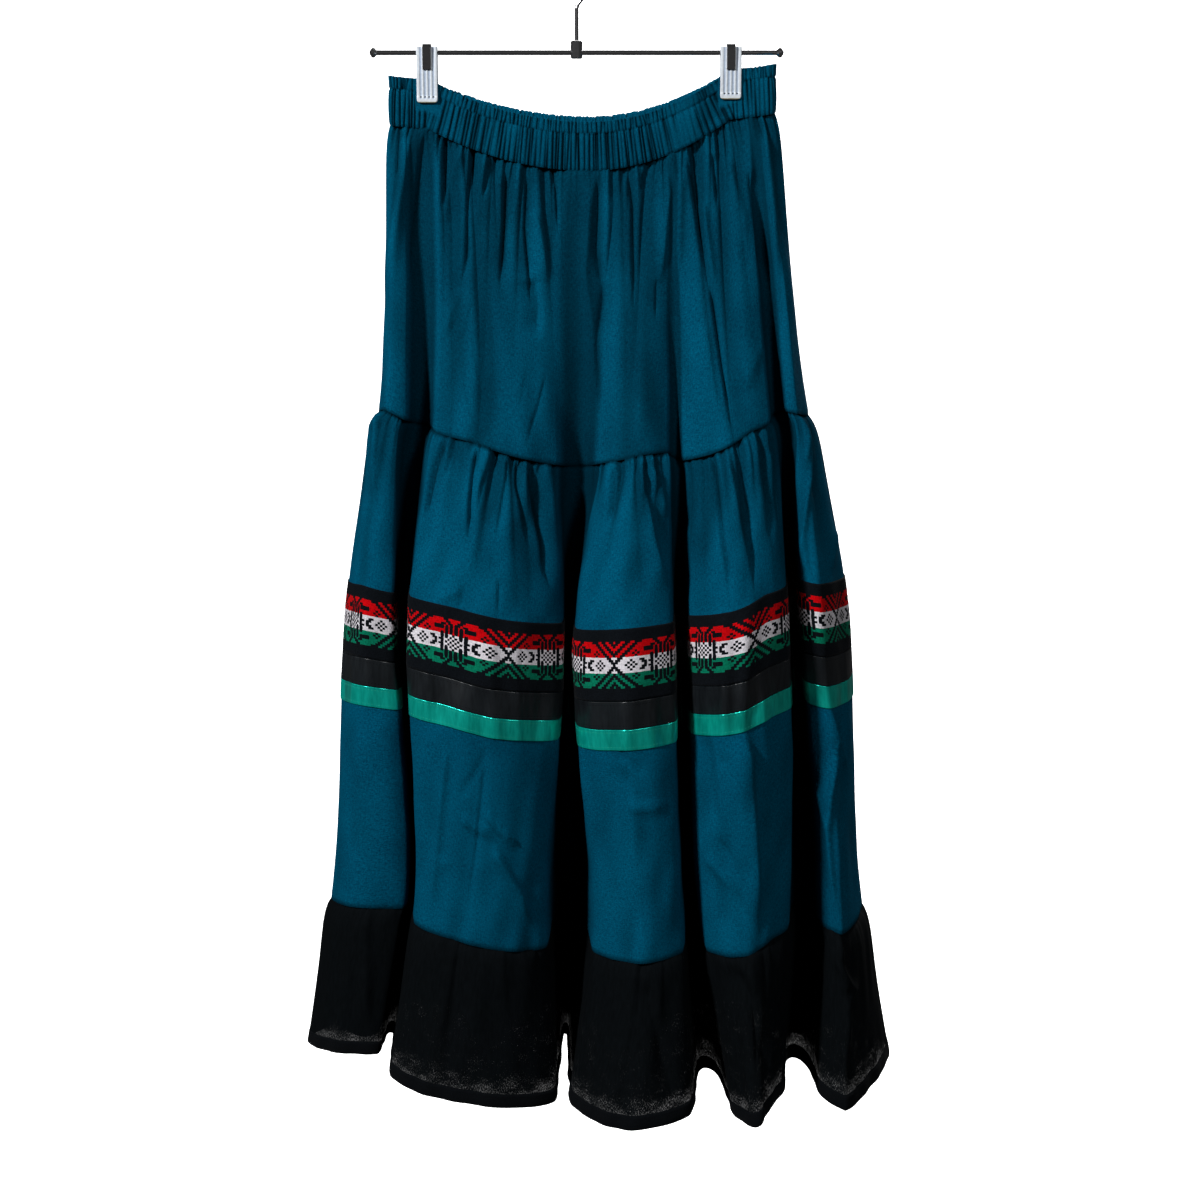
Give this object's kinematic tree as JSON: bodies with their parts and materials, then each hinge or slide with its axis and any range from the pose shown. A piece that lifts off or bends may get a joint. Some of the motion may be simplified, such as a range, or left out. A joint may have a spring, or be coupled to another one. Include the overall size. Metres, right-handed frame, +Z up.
{
  "type": "tiered folk dance skirt on a clip hanger",
  "caption": "Long tiered skirt with an elastic waist, ribbon trim and a sheer hem flounce, hanging in folds from a clip hanger.",
  "frame": {"origin": "the inside of the hook's top, where a rail holds the hanger", "axes": "+X to the viewer's right along the hanger's bar, -Y out of the skirt's front, +Z up"},
  "size_m": [0.5508, 0.3088, 1.0206],
  "materials": {
    "teal_cotton": "plain woven cotton, softly creased",
    "jacquard_ribbon": "woven jacquard ribbon in red, white, green and black",
    "black_satin": "satin ribbon",
    "green_satin": "satin ribbon",
    "black_gauze": "sheer cotton gauze",
    "chrome_wire": "polished",
    "clip_plate": "ribbed plate"
  },
  "bodies": {
    "root": {"waistband_front": "teal_cotton", "waistband_back": "teal_cotton", "upper_tier_front": "teal_cotton", "upper_tier_back": "teal_cotton", "middle_tier_front": "teal_cotton", "middle_tier_back": "teal_cotton", "hem_flounce_front": "black_gauze", "hem_flounce_back": "black_gauze", "jacquard_ribbon_front": "jacquard_ribbon", "jacquard_ribbon_back": "jacquard_ribbon", "black_ribbon_front": "black_satin", "black_ribbon_back": "black_satin", "green_ribbon_front": "green_satin", "green_ribbon_back": "green_satin", "hanger_hook": "chrome_wire", "hanger_bar": "chrome_wire", "clip_left_front_jaw": "clip_plate", "clip_left_back_jaw": "clip_plate", "clip_left_spring": "chrome_wire", "clip_right_front_jaw": "clip_plate", "clip_right_back_jaw": "clip_plate", "clip_right_spring": "chrome_wire"}
  },
  "joints": []
}
